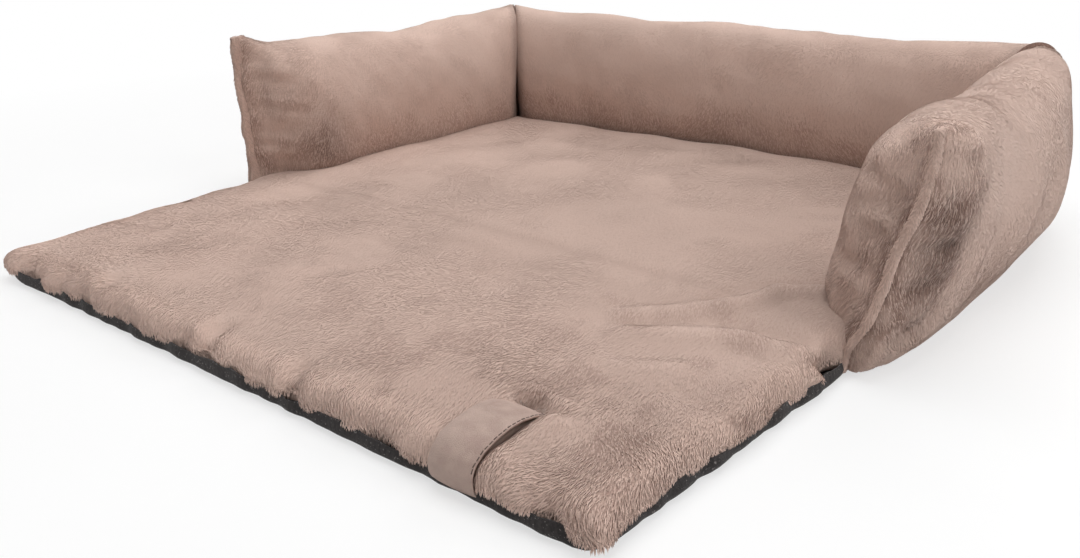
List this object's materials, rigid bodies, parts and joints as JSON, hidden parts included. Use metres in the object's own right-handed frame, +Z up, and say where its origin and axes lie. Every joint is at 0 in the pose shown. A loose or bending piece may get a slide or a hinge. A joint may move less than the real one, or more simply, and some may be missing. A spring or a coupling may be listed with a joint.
{
  "type": "dog sofa bed",
  "caption": "Padded fur dog bed with a U-shaped bolster, a lying mat and a front flap that folds over a seat edge.",
  "frame": {"origin": "middle of the footprint, on the surface that the bed rests on", "axes": "+Z up; +X across the bed, from the left arm to the right arm; the open front faces -Y"},
  "size_m": [1.003, 0.9856, 0.225],
  "materials": {
    "fur": "matte",
    "base_cloth": "matte",
    "filling": "matte",
    "bag_cloth": "matte",
    "zip_tape": "matte",
    "zip_teeth": "satin",
    "zip_metal": "satin",
    "care_label": "matte",
    "strap": "matte",
    "thread": "matte"
  },
  "bodies": {
    "bed": {"seat_base_cloth": "base_cloth", "seat_fur_cover": "fur", "seat_filling": "filling", "fold_seam": "base_cloth", "left_arm_cover": "fur", "left_arm_inner_bag": "bag_cloth", "left_arm_filling": "filling", "left_arm_end_welt": "fur", "left_corner_seam": "bag_cloth", "right_arm_cover": "fur", "right_arm_inner_bag": "bag_cloth", "right_arm_filling": "filling", "right_arm_end_welt": "fur", "right_corner_seam": "bag_cloth", "back_cover": "fur", "back_inner_bag": "bag_cloth", "back_filling": "filling", "zip_upper_tape": "zip_tape", "zip_lower_tape": "zip_tape", "zip_upper_teeth": "zip_teeth", "zip_lower_teeth": "zip_teeth", "zip_end_stops": "zip_metal", "care_label": "care_label"},
    "flap": {"flap_base_cloth": "base_cloth", "flap_fur_cover": "fur", "flap_filling": "filling", "label_strap": "strap", "label_stitching": "thread"},
    "zip_slider": {"zip_slider": "zip_metal"},
    "zip_pull": {"zip_pull": "zip_metal"}
  },
  "joints": [
    {"name": "flap_fold", "type": "hinge", "parent": "bed", "child": "flap", "pos_m": [0, -0.177, 0.0025], "axis": [-1, 0, 0], "range_deg": [-90, 80]},
    {"name": "zip_slide", "type": "slide", "parent": "bed", "child": "zip_slider", "axis": [-1, 0, 0], "range_m": [0, 0.423]},
    {"name": "zip_pull_swing", "type": "hinge", "parent": "zip_slider", "child": "zip_pull", "pos_m": [0.2117, 0.49049, 0.05344], "axis": [1, 0, 0], "range_deg": [-6, 120]}
  ]
}
